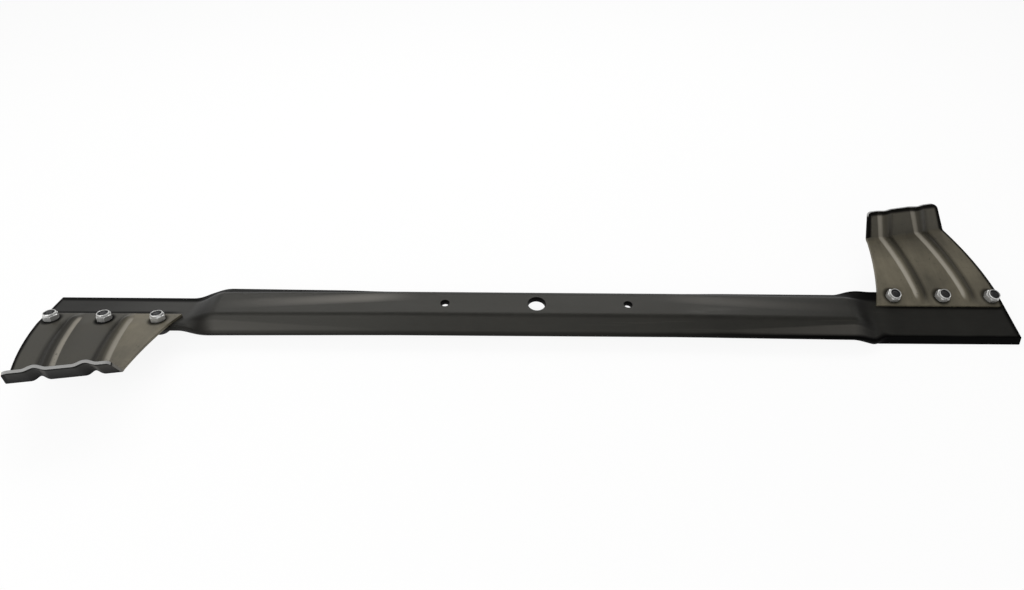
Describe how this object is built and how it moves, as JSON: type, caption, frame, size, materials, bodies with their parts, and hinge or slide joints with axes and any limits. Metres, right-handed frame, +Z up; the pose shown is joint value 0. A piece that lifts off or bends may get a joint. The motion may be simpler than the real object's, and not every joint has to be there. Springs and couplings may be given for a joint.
{
  "type": "rotary mower blade",
  "caption": "Pressed steel mower blade bar with a centre hole, dropped and twisted cutting ends, and ribbed wings bolted behind them to throw cut grass.",
  "frame": {"origin": "centre of the centre hole, on the top face of the web", "axes": "+X along the bar to the right tip, +Z up along the spin axis, away from the cutting edges; the right end cuts on its -Y side"},
  "size_m": [0.8, 0.1908, 0.0565],
  "materials": {
    "bar_steel": "dark oxide, half gloss",
    "wing_steel": "olive grey oxide, half gloss",
    "bolt_steel": "black oxide",
    "zinc": "bright zinc",
    "nylon": "matte"
  },
  "bodies": {
    "root": {"blade_bar": "bar_steel", "right_wing": "wing_steel", "left_wing": "wing_steel", "wing_bolts": "bolt_steel", "lock_nuts": "zinc", "lock_rings": "nylon"}
  },
  "joints": []
}
